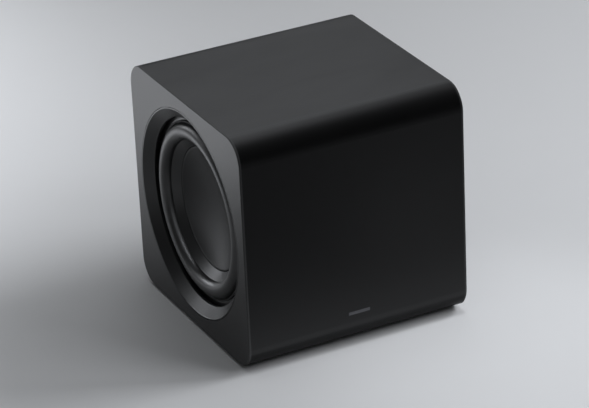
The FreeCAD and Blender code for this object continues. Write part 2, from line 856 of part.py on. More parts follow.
def rear_screws():
    """The screws that hold the rear panel."""
    screws = []
    for across, up in REAR_SCREWS:
        seat = f"{REAR} - rear_screw_sink"
        head = rod_y(across, up, seat, f"{REAR} - fit_gap", "rear_screw_head")
        shank = rod_y(across, up, f"{REAR} - wall", seat, "rear_screw_radius")
        screws.append(joined([head, shank]))
    as_node(group(screws), "rear_screws")


def amplifier():
    """The circuit board on its standoffs, with what it carries."""
    board = block(
        ("-board_half_width", "board_half_width"),
        (BOARD_FRONT, BOARD_BACK),
        ("-board_half_height", "board_half_height"),
    )
    as_node(board, "amplifier_board")
    posts = [
        rod_y(f"{a} * standoff_across", f"{b} * standoff_up", BOARD_BACK, PANEL_FACE, "standoff_radius")
        for a in (-1, 1)
        for b in (-1, 1)
    ]
    as_node(group(posts), "board_standoffs")
    heat_sink()
    choke = block(
        ("choke_across - choke_size / 2", "choke_across + choke_size / 2"),
        (f"{BOARD_FRONT} - choke_size", BOARD_FRONT),
        ("-choke_drop - choke_size / 2", "choke_size / 2 - choke_drop"),
    )
    as_node(choke, "power_transformer")
    can_start = f"{BOARD_FRONT} - can_length"
    cans = [
        rod_y(f"can_first + {i} * can_pitch", "-can_drop", can_start, BOARD_FRONT, "can_radius")
        for i in range(2)
    ]
    as_node(group(cans), "reservoir_capacitors")
    radio = block(
        ("radio_across - radio_width / 2", "radio_across + radio_width / 2"),
        (f"{BOARD_FRONT} - radio_thickness", BOARD_FRONT),
        ("radio_up - radio_height / 2", "radio_up + radio_height / 2"),
    )
    as_node(radio, "wireless_module")


def heat_sink():
    """The finned aluminium block that cools the output stage."""
    base = block(
        ("-sink_half_width", "sink_half_width"),
        (f"{BOARD_FRONT} - sink_base", BOARD_FRONT),
        ("sink_low", "sink_high"),
    )
    fins = []
    last = int(SIZES["sink_fin_count"]) - 1
    for i in range(last + 1):
        left = f"-sink_half_width + {i} * (2 * sink_half_width - sink_fin) / {last}"
        fin = block(
            (left, f"{left} + sink_fin"),
            (f"{BOARD_FRONT} - sink_depth", f"{BOARD_FRONT} - sink_base / 2"),
            ("sink_low", "sink_high"),
        )
        fins.append(fin)
    as_node(joined([base] + fins), "heat_sink")


def mains_inlet():
    """The two-pin mains socket, its pins standing in a figure-of-eight cavity."""
    drop = "-controls_drop"
    shell = block(
        ("inlet_across - inlet_half_width", "inlet_across + inlet_half_width"),
        (f"{REAR} - inlet_length", REAR),
        ("-controls_drop - inlet_half_height", "inlet_half_height - controls_drop"),
    )
    floor = f"{REAR} - inlet_cavity_depth"
    beyond = f"{REAR} + 1"
    lobes = [
        rod_y(f"inlet_across + {s} * inlet_pin_spread", drop, floor, beyond, "inlet_lobe_radius")
        for s in (-1, 1)
    ]
    waist = block(
        ("inlet_across - inlet_pin_spread", "inlet_across + inlet_pin_spread"),
        (floor, beyond),
        ("-controls_drop - inlet_lobe_radius * 0.8", "inlet_lobe_radius * 0.8 - controls_drop"),
    )
    as_node(cut(shell, joined(lobes + [waist])), "mains_inlet")
    pins = [
        rod_y(
            f"inlet_across + {s} * inlet_pin_spread", drop,
            floor, f"{floor} + inlet_pin_length", "inlet_pin_radius",
        )
        for s in (-1, 1)
    ]
    as_node(group(pins), "inlet_pins")


def pairing_button():
    """The button, its return spring and the switch behind it."""
    across, drop = "button_across", "-controls_drop"
    flange_back = f"{PANEL_FACE} - button_guide"
    flange_front = f"{flange_back} - button_flange_thickness"
    stem_end = f"{flange_front} - button_stem_length"
    switch_top = f"{stem_end} - button_travel - button_guide"
    cap = rod_y(across, drop, flange_front, f"{REAR} - button_recess", "button_radius")
    flange = rod_y(across, drop, flange_front, flange_back, "button_flange_radius")
    stem = rod_y(across, drop, stem_end, flange_front, "button_stem_radius")
    as_node(joined([cap, flange, stem]), "pairing_button")
    coil = rod_y(across, drop, switch_top, flange_front, "spring_outer")
    bore = rod_y(across, drop, f"{switch_top} - 1", f"{flange_front} + 1", "spring_inner")
    as_node(cut(coil, bore), "button_spring")
    switch = block(
        (f"{across} - switch_half", f"{across} + switch_half"),
        (BOARD_BACK, switch_top),
        ("-controls_drop - switch_half", "switch_half - controls_drop"),
    )
    as_node(switch, "pairing_switch")


def status_lamp():
    """The lamp on the board and the clear rod that brings its light to the panel."""
    lamp_top = f"{BOARD_BACK} + lamp_block_height"
    lamp = block(
        ("lamp_across - lamp_block_half", "lamp_across + lamp_block_half"),
        (BOARD_BACK, lamp_top),
        ("-controls_drop - lamp_block_half", "lamp_block_half - controls_drop"),
    )
    as_node(lamp, "status_lamp")
    rod = rod_y("lamp_across", "-controls_drop", lamp_top, REAR, "lamp_radius")
    as_node(rod, "light_pipe")


def write_parts():
    """Check every object and sub-part, then write one file per node."""
    doc.recompute()
    for item in doc.Objects:
        bad = [word for word in item.State if word in ("Invalid", "Error")]
        assert not bad, f"{item.Name} ({item.Label}): {item.State}"
    labels = [item.Label for item in nodes]
    assert len(labels) == len(set(labels)) <= 60, "node names repeat, or there are too many"
    for item in nodes:
        assert not item.Shape.isNull() and item.Shape.isValid(), f"{item.Label}: bad shape"
        assert item.Shape.Solids, f"{item.Label}: no solid"
    os.makedirs("parts", exist_ok=True)
    for item in nodes:
        item.Shape.exportStep(f"parts/{item.Label}.step")
    print(f"{len(nodes)} nodes written")


cabinet_wrap()
brace()
damping_pads()
front_badge()
feet()
for name in SIDES:
    side_panel(name)
    trim_ring(name)
    baffle(name)
    mounting_gasket(name)
    basket(name)
    driver_screws(name)
    tube("clamp_ring", name, ("clamp_depth", "land_depth"), ("clamp_inner", "clamp_outer"))
    surround(name)
    cone(name)
    dust_cap(name)
    voice_coil(name)
    spider(name)
    motor(name)
    terminal_and_wire(name)
rear_panel()
rear_gasket()
rear_screws()
amplifier()
mains_inlet()
pairing_button()
status_lamp()
write_parts()
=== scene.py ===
import json
import math

import bmesh
import bpy
import numpy as np
from mathutils import Matrix, Vector, noise


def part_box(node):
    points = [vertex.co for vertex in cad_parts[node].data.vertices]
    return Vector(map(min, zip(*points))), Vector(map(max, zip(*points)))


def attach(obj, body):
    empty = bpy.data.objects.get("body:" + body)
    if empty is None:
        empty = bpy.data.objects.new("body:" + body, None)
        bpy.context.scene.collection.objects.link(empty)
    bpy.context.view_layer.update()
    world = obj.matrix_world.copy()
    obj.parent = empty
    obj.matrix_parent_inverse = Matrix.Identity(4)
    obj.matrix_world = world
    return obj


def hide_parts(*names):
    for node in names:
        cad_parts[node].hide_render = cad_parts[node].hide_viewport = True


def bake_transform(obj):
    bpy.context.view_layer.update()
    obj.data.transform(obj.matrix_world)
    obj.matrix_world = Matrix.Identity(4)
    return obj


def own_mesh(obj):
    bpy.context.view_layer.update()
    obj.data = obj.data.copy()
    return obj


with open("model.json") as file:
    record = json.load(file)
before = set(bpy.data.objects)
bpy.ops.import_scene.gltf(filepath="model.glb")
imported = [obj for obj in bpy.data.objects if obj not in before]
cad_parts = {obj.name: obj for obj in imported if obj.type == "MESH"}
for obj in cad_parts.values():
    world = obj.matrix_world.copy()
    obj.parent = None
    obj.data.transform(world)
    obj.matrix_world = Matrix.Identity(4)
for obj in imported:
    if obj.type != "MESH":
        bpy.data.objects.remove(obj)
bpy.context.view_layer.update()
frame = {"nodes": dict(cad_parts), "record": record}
MM = 0.001

# ------------------------------------------------------------------ sizes in mm
# The driver's outlines are (depth, radius): depth from the side panel's face inwards,
# radius from the driver's own axis.
ROLL_CENTRE = (15.9, 83.0)
ROLL_RADIUS = 8.8
ROLL_THICKNESS = 0.9
LAND_DEPTH = 15.5
LAND_START = 93.0
LAND_RADIUS = 96.0
FOOT_DEPTH = 17.3
CLAMP_FRONT = 13.0
CLAMP_BACK = 15.5
CLAMP_INNER = 91.95
CLAMP_OUTER = 94.1
DISH_DEPTH = 23.2
DISH_SAG = 14.0
DISH_EDGE = 64.7
DISH_THICKNESS = 1.0
DISH_LIP = 0.3
DISH_CENTRE = 0.5
GLUE_RADIUS = 65.75
GLUE_SINK = 0.25
GLUE_INNER_DEPTH = 0.95
GLUE_OUTER_DEPTH = 0.45
GLUE_GAP = 0.02
SPIDER_DEPTH = 61.2
SPIDER_THICKNESS = 0.8
SPIDER_WAVE = 1.5
SPIDER_NECK = 25.85
SPIDER_START = 27.0
SPIDER_END = 51.0
SPIDER_SEAT = 55.4
SPIDER_WAVES = 8
REAR_SCREWS = [(a * 73.0, b * 93.0) for a in (-1, 0, 1) for b in (-1, 0, 1) if (a, b) != (0, 0)]
FOOT_SCREWS = [(a * 88.0, b * 88.0) for a in (-1, 1) for b in (-1, 1)]
AROUND = 256

# ------------------------------------------------------------------ colour, light and camera
DARK_LIFT = 1.35
DARK_TINT = (1.0, 1.0, 1.03)
COOL = (0.93, 0.955, 1.0)
LIGHT_DISTANCE = 2.2
STRIP_HEIGHT = 0.004
CAMERA_PLACE = (-1.2648, -2.5524, 1.4981)
CAMERA_TURN = -26.26
CAMERA_DIP = 26.04
CAMERA_ROLL = -2.71
CAMERA_LENS = 189.04
CAMERA_SENSOR = 36.0

low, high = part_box("cabinet_wrap")
AXIS_HEIGHT = (low.z + high.z) / 2
PANEL_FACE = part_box("side_panel_right")[1].x
SIDES = {"left": -1, "right": 1}


# ------------------------------------------------------------------ mesh helpers
def new_object(name, verts, faces, sharp=35.0):
    """A smooth-shaded mesh object whose edges stay sharp above an angle in degrees."""
    mesh = bpy.data.meshes.new(name)
    mesh.from_pydata([tuple(v) for v in verts], [], faces)
    return finish_mesh(name, mesh, sharp)


def finish_mesh(name, mesh, sharp=35.0):
    """Welds a mesh, turns its faces outwards, shades it smooth and puts it in the scene."""
    bm = bmesh.new()
    bm.from_mesh(mesh)
    bmesh.ops.remove_doubles(bm, verts=bm.verts, dist=1e-7)
    bmesh.ops.recalc_face_normals(bm, faces=bm.faces)
    bm.to_mesh(mesh)
    bm.free()
    mesh.shade_smooth()
    mesh.set_sharp_from_angle(angle=math.radians(sharp))
    obj = bpy.data.objects.new(name, mesh)
    bpy.context.scene.collection.objects.link(obj)
    return obj


def arc(centre, radius, start, end, steps):
    """Points of an arc in (depth, radius). Angle 0 points outwards from the axis, 90 to the front."""
    angles = [math.radians(start + (end - start) * i / steps) for i in range(steps + 1)]
    return [(centre[0] - radius * math.sin(a), centre[1] + radius * math.cos(a)) for a in angles]


def turned(name, side, outline, around=AROUND, sharp=35.0, capped=False):
    """A solid turned about the driver's axis from a (depth, radius) outline.

    The outline is closed into a ring, or, when capped, its two ends are closed over the axis.
    """
    sign = SIDES[side]
    verts = []
    for depth, radius in outline:
        x = sign * (PANEL_FACE - depth * MM)
        for k in range(around):
            a = 2 * math.pi * k / around
            verts.append((x, radius * MM * math.cos(a), AXIS_HEIGHT + radius * MM * math.sin(a)))
    count = len(outline)
    faces = []
    for i in range(count - 1 if capped else count):
        j = (i + 1) % count
        for k in range(around):
            n = (k + 1) % around
            faces.append((i * around + k, i * around + n, j * around + n, j * around + k))
    if capped:
        for i in (0, count - 1):
            verts.append((sign * (PANEL_FACE - outline[i][0] * MM), 0.0, AXIS_HEIGHT))
            for k in range(around):
                fan = (i * around + (k + 1) % around, i * around + k, len(verts) - 1)
                faces.append(fan if i == 0 else fan[::-1])
    return new_object(name, verts, faces, sharp)


def radii_of(obj):
    """Each vertex's distance from the driver's axis, in mm."""
    co = np.array([v.co for v in obj.data.vertices])
    return np.hypot(co[:, 1], co[:, 2] - AXIS_HEIGHT) / MM


# ------------------------------------------------------------------ materials
class Finish:
    """A node material built round one principled shader, in the frame's own coordinates."""

    def __init__(self, name, metallic=0.0, specular=0.5, sheen=0.0):
        self.material = bpy.data.materials.new(name)
        self.material.use_nodes = True
        self.nodes = self.material.node_tree.nodes
        self.links = self.material.node_tree.links
        self.shader = self.nodes["Principled BSDF"]
        self.set("Metallic", metallic)
        self.set("Specular IOR Level", specular)
        self.set("Sheen Weight", sheen)
        self.place = self.nodes.new("ShaderNodeTexCoord").outputs["Object"]
        self.height = None

    def set(self, socket, value):
        self.shader.inputs[socket].default_value = value

    def join(self, source, target):
        self.links.new(source, target)

    def stretched(self, scale):
        """The coordinates scaled per axis, so that a noise becomes streaks."""
        node = self.nodes.new("ShaderNodeMapping")
        node.inputs["Scale"].default_value = scale
        self.join(self.place, node.inputs["Vector"])
        return node.outputs["Vector"]

    def noise(self, scale, detail=3.0, roughness=0.55, vector=None, distortion=0.0):
        node = self.nodes.new("ShaderNodeTexNoise")
        node.inputs["Scale"].default_value = scale
        node.inputs["Detail"].default_value = detail
        node.inputs["Roughness"].default_value = roughness
        node.inputs["Distortion"].default_value = distortion
        self.join(vector or self.place, node.inputs["Vector"])
        return node.outputs["Fac"]

    def cells(self, scale, feature="F1", vector=None):
        node = self.nodes.new("ShaderNodeTexVoronoi")
        node.feature = feature
        node.inputs["Scale"].default_value = scale
        self.join(vector or self.place, node.inputs["Vector"])
        return node.outputs["Distance"]

    def remap(self, value, out_low, out_high, in_low=0.3, in_high=0.7):
        node = self.nodes.new("ShaderNodeMapRange")
        node.inputs["From Min"].default_value = in_low
        node.inputs["From Max"].default_value = in_high
        node.inputs["To Min"].default_value = out_low
        node.inputs["To Max"].default_value = out_high
        self.join(value, node.inputs["Value"])
        return node.outputs["Result"]

    def blend(self, factor, first, second):
        """A colour between two colours, or between two colour outputs."""
        node = self.nodes.new("ShaderNodeMix")
        node.data_type = "RGBA"
        self.join(factor, node.inputs["Factor"])
        for socket, colour in ((node.inputs[6], first), (node.inputs[7], second)):
            if isinstance(colour, tuple):
                socket.default_value = (*colour, 1.0)
            else:
                self.join(colour, socket)
        return node.outputs[2]

    def maths(self, operation, first, second=None):
        node = self.nodes.new("ShaderNodeMath")
        node.operation = operation
        for socket, value in zip(node.inputs, (first, second)):
            if value is None:
                continue
            if isinstance(value, (int, float)):
                socket.default_value = value
            else:
                self.join(value, socket)
        return node.outputs[0]

    def radius(self):
        """Distance from the drivers' common axis, in metres."""
        parts = self.nodes.new("ShaderNodeSeparateXYZ")
        self.join(self.place, parts.inputs[0])
        up = self.maths("SUBTRACT", parts.outputs["Z"], AXIS_HEIGHT)
        along_squared = self.maths("POWER", parts.outputs["Y"], 2.0)
        up_squared = self.maths("POWER", up, 2.0)
        return self.maths("SQRT", self.maths("ADD", along_squared, up_squared))

    def colour(self, output):
        self.join(output, self.shader.inputs["Base Color"])

    def rough(self, output):
        self.join(output, self.shader.inputs["Roughness"])

    def bump(self, value, distance):
        """Adds a layer of relief whose full height is a distance in metres."""
        node = self.nodes.new("ShaderNodeBump")
        node.inputs["Strength"].default_value = 1.0
        node.inputs["Distance"].default_value = distance
        self.join(value, node.inputs["Height"])
        if self.height is not None:
            self.join(self.height, node.inputs["Normal"])
        self.height = node.outputs["Normal"]
        self.join(self.height, self.shader.inputs["Normal"])


def dark(level):
    """A dark tone and a slightly lighter one, near neutral."""
    return tuple(level * t for t in DARK_TINT), tuple(level * DARK_LIFT * t for t in DARK_TINT)


def moulded(name, dark, light, rough, grain=1800.0, grain_height=0.02, specular=0.5):
    """Moulded plastic or rubber: a fine spark-eroded grain, and slow changes of tone and gloss."""
    f = Finish(name, specular=specular)
    slow = f.noise(14.0, 4.0)
    f.colour(f.blend(f.remap(slow, 0.0, 1.0), dark, light))
    handled = f.noise(42.0, 5.0, 0.6)
    f.rough(f.remap(handled, rough - 0.035, rough + 0.035))
    f.bump(f.noise(grain, 2.0, 0.5), grain_height * MM)
    return f.material


def metal(name, dark, light, rough, streak=(1.0, 1.0, 1.0)):
    """Bare or plated metal with fine working marks."""
    f = Finish(name, metallic=1.0)
    tone = f.noise(26.0, 4.0)
    f.colour(f.blend(f.remap(tone, 0.0, 1.0), dark, light))
    marks = f.noise(900.0, 3.0, 0.6, vector=f.stretched(streak))
    f.rough(f.remap(marks, rough - 0.08, rough + 0.1))
    f.bump(marks, 0.006 * MM)
    return f.material


def woven(name, dark, light, rough):
    """Cloth: two crossed sets of threads, in and out of each other."""
    f = Finish(name, sheen=0.2)
    pitch, height = 0.9 * MM, 0.15 * MM
    parts = f.nodes.new("ShaderNodeSeparateXYZ")
    f.join(f.place, parts.inputs[0])
    waves = [
        f.maths("SINE", f.maths("MULTIPLY", parts.outputs[axis], 2 * math.pi / pitch))
        for axis in ("Y", "Z")
    ]
    weave = f.maths("MULTIPLY", waves[0], waves[1])
    fuzz = f.noise(1500.0, 4.0, 0.7)
    # The colour follows the weave: lighter where the threads rise and darker where they dip, painted
    # shade.
    f.colour(f.blend(f.remap(weave, 0.2, 0.9, -1.0, 1.0), dark, light))
    f.rough(f.remap(fuzz, rough - 0.06, rough + 0.06))
    f.bump(weave, height)
    f.bump(fuzz, 0.03 * MM)
    return f.material


def sleeve_finish():
    """Smooth satin lacquer over the wrapped sleeve, with faint handling marks."""
    f = Finish("sleeve_satin", specular=0.10)
    slow = f.noise(7.0, 4.0)
    f.colour(f.blend(f.remap(slow, 0.0, 1.0), *dark(0.0014)))
    wiped = f.noise(22.0, 5.0, 0.6, vector=f.stretched((0.35, 1.0, 1.0)), distortion=0.6)
    f.rough(f.remap(wiped, 0.38, 0.43))
    f.bump(f.noise(2600.0, 2.0, 0.5), 0.004 * MM)
    f.bump(f.noise(60.0, 2.0, 0.5), 0.010 * MM)
    return f.material


def panel_finish():
    """The side panels' fine leather-like grain: small rounded cells with pits between them.

    The panel's rim and its bore, which lie behind the face, are duller, and their colour is darker:
    painted shade that dims the light line along the rim.
    """
    f = Finish("panel_grain", specular=0.5)
    slow = f.noise(9.0, 4.0)
    cells = f.cells(1500.0, "SMOOTH_F1")
    grit = f.noise(3200.0, 3.0, 0.6)
    parts = f.nodes.new("ShaderNodeSeparateXYZ")
    f.join(f.place, parts.inputs[0])
    across = f.maths("ABSOLUTE", parts.outputs["X"])
    face = f.remap(across, 0.0, 1.0, PANEL_FACE - 0.25 * MM, PANEL_FACE - 0.05 * MM)
    # The face's tone is a slow random change, plus painted shade: lighter on the raised cells and darker
    # in the pits between them.
    tone = f.maths("ADD", f.remap(slow, 0.0, 0.45), f.remap(cells, 0.35, 0.0, 0.05, 0.6))
    grain_and_pit_shade = f.blend(tone, *dark(0.0080))
    # On the rim and in the bore the colour is darker than on the face: painted shade.
    f.colour(f.blend(face, dark(0.0022)[0], grain_and_pit_shade))
    f.rough(f.maths("ADD", f.remap(grit, 0.32, 0.38), f.remap(face, 0.42, 0.0, 0.0, 1.0)))
    f.bump(cells, -0.08 * MM)
    f.bump(grit, 0.018 * MM)
    return f.material


def roll_finish():
    """Moulded rubber with faint flow rings and a slight bloom."""
    f = Finish("roll_rubber", specular=0.75, sheen=0.05)
    rings = f.noise(420.0, 2.0, 0.5)
    distance = f.radius()
    fine = f.maths("SINE", f.maths("MULTIPLY", distance, 2 * math.pi / (0.55 * MM)))
    bloom = f.noise(30.0, 5.0, 0.6)
    f.colour(f.blend(f.remap(bloom, 0.0, 1.0), *dark(0.0055)))
    f.rough(f.remap(f.noise(140.0, 4.0), 0.34, 0.40))
    f.bump(fine, 0.002 * MM)
    f.bump(rings, 0.010 * MM)
    return f.material


def cone_finish(name, dark, light, rough, fibre, specular):
    """Pressed, coated fibre with fine rings left by the tool."""
    f = Finish(name, specular=specular)
    distance = f.radius()
    rings = f.maths("SINE", f.maths("MULTIPLY", distance, 2 * math.pi / (0.7 * MM)))
    fibres = f.noise(fibre, 4.0, 0.65, distortion=0.8)
    slow = f.noise(18.0, 3.0)
    f.colour(f.blend(f.remap(slow, 0.0, 1.0), dark, light))
    f.rough(f.remap(fibres, rough - 0.04, rough + 0.05))
    f.bump(rings, 0.0025 * MM)
    f.bump(fibres, 0.010 * MM)
    return f.material


def board_finish():
    """Black particle board: chips of many tones."""
    f = Finish("board_chips")
    chips = f.cells(420.0, "F1", vector=f.stretched((1.0, 1.0, 0.5)))
    f.colour(f.blend(f.remap(chips, 0.0, 1.0, 0.1, 0.9), (0.018, 0.016, 0.014), (0.060, 0.052, 0.043)))
    f.rough(f.remap(f.noise(300.0, 4.0), 0.7, 0.85))
    f.bump(chips, 0.08 * MM)
    return f.material


def circuit_finish():
    """Green solder mask over copper tracks."""
    f = Finish("circuit_mask", specular=0.5)
    tracks = f.cells(260.0, "DISTANCE_TO_EDGE")
    f.colour(f.blend(f.remap(tracks, 1.0, 0.0, 0.02, 0.06), (0.010, 0.085, 0.035), (0.020, 0.160, 0.060)))
    f.rough(f.remap(f.noise(90.0), 0.28, 0.40))
    f.bump(f.remap(tracks, 1.0, 0.0, 0.02, 0.06), 0.03 * MM)
    return f.material


def cable_finish():
    """Red and black sleeving side by side, split along the cable's length."""
    f = Finish("cable_sleeve", specular=0.45)
    parts = f.nodes.new("ShaderNodeSeparateXYZ")
    f.join(f.place, parts.inputs[0])
    bands = f.maths("SINE", f.maths("MULTIPLY", parts.outputs["Y"], 2 * math.pi / (9.0 * MM)))
    f.colour(f.blend(f.remap(bands, 0.0, 1.0, -0.1, 0.1), (0.30, 0.022, 0.018), (0.014, 0.014, 0.015)))
    f.rough(f.remap(f.noise(400.0), 0.40, 0.52))
    f.bump(f.noise(900.0), 0.02 * MM)
    return f.material


def winding_finish():
    """Enamelled wire wound turn by turn along the coil's axis."""
    f = Finish("winding_copper", metallic=1.0)
    parts = f.nodes.new("ShaderNodeSeparateXYZ")
    f.join(f.place, parts.inputs[0])
    turns = f.maths("SINE", f.maths("MULTIPLY", parts.outputs["X"], 2 * math.pi / (0.32 * MM)))
    # The colour follows the turns: lighter on each wire's crest and darker in the grooves between turns,
    # painted highlight and shade.
    f.colour(f.blend(f.remap(turns, 0.0, 1.0, -1.0, 1.0), (0.36, 0.13, 0.06), (0.72, 0.34, 0.17)))
    f.rough(f.remap(f.noise(500.0), 0.24, 0.36))
    f.bump(turns, 0.08 * MM)
    return f.material


def wadding_finish():
    """Loose white polyester fibre."""
    f = Finish("wadding_fibre", specular=0.2, sheen=0.5)
    strands = f.noise(700.0, 6.0, 0.75, vector=f.stretched((0.4, 1.0, 1.0)), distortion=1.4)
    f.colour(f.blend(f.remap(strands, 0.0, 1.0), (0.62, 0.62, 0.60), (0.86, 0.86, 0.84)))
    f.rough(f.remap(strands, 0.85, 0.98))
    f.bump(strands, 0.5 * MM)
    return f.material


def lens_finish():
    """Clear moulded rod."""
    f = Finish("lens_clear", specular=0.5)
    f.set("Transmission Weight", 0.9)
    f.set("IOR", 1.49)
    f.colour(f.blend(f.noise(200.0), (0.80, 0.84, 0.86), (0.90, 0.92, 0.93)))
    f.rough(f.remap(f.noise(500.0), 0.06, 0.16))
    f.bump(f.noise(1200.0), 0.004 * MM)
    return f.material


FINISHES = {
    "sleeve": sleeve_finish(),
    "side_panel": panel_finish(),
    "trim": moulded("trim_satin", *dark(0.0055), 0.33, grain=2400.0, grain_height=0.010, specular=0.65),
    "board": board_finish(),
    "seal": moulded("seal_foam", *dark(0.010), 0.72, grain=1400.0, grain_height=0.06),
    "frame": moulded("frame_coat", *dark(0.016), 0.40, grain=1100.0, grain_height=0.02),
    "fastener": metal("fastener_black", (0.045, 0.045, 0.048), (0.085, 0.085, 0.090), 0.38),
    "roll": roll_finish(),
    "cone": cone_finish("cone_fibre", *dark(0.0080), 0.34, 700.0, specular=0.7),
    "dish": cone_finish("dish_satin", *dark(0.0033), 0.31, 1100.0, specular=0.27),
    "glue": moulded("glue_black", *dark(0.0015), 0.85, grain=1500.0, grain_height=0.02, specular=0.1),
    "former": moulded("former_film", (0.20, 0.13, 0.05), (0.28, 0.18, 0.08), 0.35, grain=900.0),
    "copper": winding_finish(),
    "cloth": woven("spider_cloth", (0.30, 0.21, 0.08), (0.56, 0.42, 0.20), 0.75),
    "steel": metal("steel_zinc", (0.46, 0.46, 0.49), (0.66, 0.66, 0.68), 0.30),
    "ferrite": moulded("ferrite_pressed", (0.035, 0.035, 0.038), (0.06, 0.06, 0.065), 0.62, grain=700.0),
    "terminal": moulded("terminal_laminate", (0.15, 0.09, 0.04), (0.24, 0.15, 0.07), 0.5, grain=600.0),
    "cable": cable_finish(),
    "wadding": wadding_finish(),
    "foot": moulded("foot_rubber", *dark(0.016), 0.66, grain=1300.0, grain_height=0.05),
    "badge": metal(
        "badge_grey", (0.030, 0.030, 0.032), (0.042, 0.042, 0.045), 0.42, streak=(0.05, 1.0, 1.0),
    ),
    "rear": moulded("rear_grain", *dark(0.017), 0.55, grain=1000.0, grain_height=0.05),
    "circuit": circuit_finish(),
    "brass": metal("brass_plain", (0.60, 0.44, 0.18), (0.76, 0.58, 0.28), 0.26),
    "sink": metal("sink_extruded", (0.50, 0.51, 0.53), (0.68, 0.69, 0.71), 0.36, streak=(1.0, 1.0, 0.05)),
    "core": moulded("core_lacquer", (0.06, 0.055, 0.05), (0.11, 0.10, 0.09), 0.5, grain=500.0),
    "can": moulded("can_sleeve", (0.012, 0.014, 0.030), (0.020, 0.024, 0.045), 0.30, grain=800.0),
    "shield": metal("shield_tinned", (0.60, 0.60, 0.61), (0.78, 0.78, 0.79), 0.28),
    "socket": moulded("socket_nylon", *dark(0.012), 0.42, grain=1500.0, grain_height=0.015),
    "button": moulded("button_satin", *dark(0.032), 0.38, grain=2000.0, grain_height=0.008),
    "spring": metal("spring_wire", (0.50, 0.50, 0.52), (0.70, 0.70, 0.72), 0.25),
    "switch": moulded("switch_case", *dark(0.022), 0.48, grain=900.0),
    "lamp": moulded("lamp_case", (0.70, 0.70, 0.64), (0.84, 0.84, 0.78), 0.20, grain=700.0),
    "lens": lens_finish(),
}


def paint(obj, slot):
    obj.data.materials.clear()
    obj.data.materials.append(FINISHES[slot])


for part in frame["record"]["subparts"]:
    paint(frame["nodes"][part["node"]], part["material_slot"])


def own(obj, slot, body, *nodes):
    """Gives a new piece its finish, its body and the CAD nodes it stands for."""
    paint(obj, slot)
    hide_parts(*nodes)
    if body is not None:
        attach(obj, body)
    return obj


# ------------------------------------------------------------------ soft rings of the drivers
def bend_by_radius(obj, fixed_radius, moving_radius):
    """Bakes a ring's placement into its mesh and works out each point's share of a bend between the
    cabinet and a cone, by its distance from the axis; the share is not used, so the ring does not bend.
    """
    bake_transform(obj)
    share = np.clip((fixed_radius - radii_of(obj)) / (fixed_radius - moving_radius), 0.0, 1.0)
    share = share * share * (3.0 - 2.0 * share)


def surround(side):
    """The half roll, with its glued lands inside and outside."""
    reach = math.sqrt(ROLL_RADIUS ** 2 - (ROLL_CENTRE[0] - LAND_DEPTH) ** 2)
    inner_foot = ROLL_CENTRE[1] - reach
    lean = math.degrees(math.asin((ROLL_CENTRE[0] - LAND_DEPTH) / ROLL_RADIUS))
    back_radius = ROLL_RADIUS - ROLL_THICKNESS
    land_back = LAND_DEPTH + ROLL_THICKNESS
    outline = [(FOOT_DEPTH, inner_foot), (FOOT_DEPTH - ROLL_THICKNESS, inner_foot)]
    outline += arc(ROLL_CENTRE, ROLL_RADIUS, 180.0 - lean, lean, 48)
    outline += [(LAND_DEPTH, LAND_START), (LAND_DEPTH, LAND_RADIUS), (land_back, LAND_RADIUS)]
    outline += arc(ROLL_CENTRE, back_radius, 0.0, 180.0, 32)
    outline += [(FOOT_DEPTH, ROLL_CENTRE[1] - back_radius)]
    ring = turned(f"surround_roll_{side}", side, outline, sharp=50.0)
    own(ring, "roll", None, f"surround_{side}")
    bend_by_radius(ring, ROLL_CENTRE[1] + ROLL_RADIUS, ROLL_CENTRE[1] - ROLL_RADIUS)


def spider(side):
    """The corrugated cloth disc behind the cone."""
    steps = SPIDER_WAVES * 8
    front = [(SPIDER_DEPTH, SPIDER_NECK)]
    for i in range(steps + 1):
        share = i / steps
        fade = min(1.0, 6.0 * share, 6.0 * (1.0 - share))
        swing = SPIDER_WAVE * fade * math.sin(math.pi * SPIDER_WAVES * share)
        front.append((SPIDER_DEPTH + swing, SPIDER_START + (SPIDER_END - SPIDER_START) * share))
    front.append((SPIDER_DEPTH, SPIDER_SEAT))
    back = [(depth + SPIDER_THICKNESS, radius) for depth, radius in reversed(front)]
    ring = turned(f"spider_cloth_{side}", side, front + back, around=144, sharp=60.0)
    own(ring, "cloth", None, f"spider_{side}")
    bend_by_radius(ring, SPIDER_END, SPIDER_START)


def clamp_bead(side):
    """The soft bead that presses on the surround's outer land, with rounded lips."""
    round_off = 0.55
    outline = [(CLAMP_BACK, CLAMP_INNER)]
    outline += arc((CLAMP_FRONT + round_off, CLAMP_INNER + round_off), round_off, 180.0, 90.0, 6)
    outline += arc((CLAMP_FRONT + round_off, CLAMP_OUTER - round_off), round_off, 90.0, 0.0, 6)
    outline += [(CLAMP_BACK, CLAMP_OUTER)]
    own(turned(f"clamp_bead_{side}", side, outline, sharp=50.0), "seal", "cabinet", f"clamp_ring_{side}")


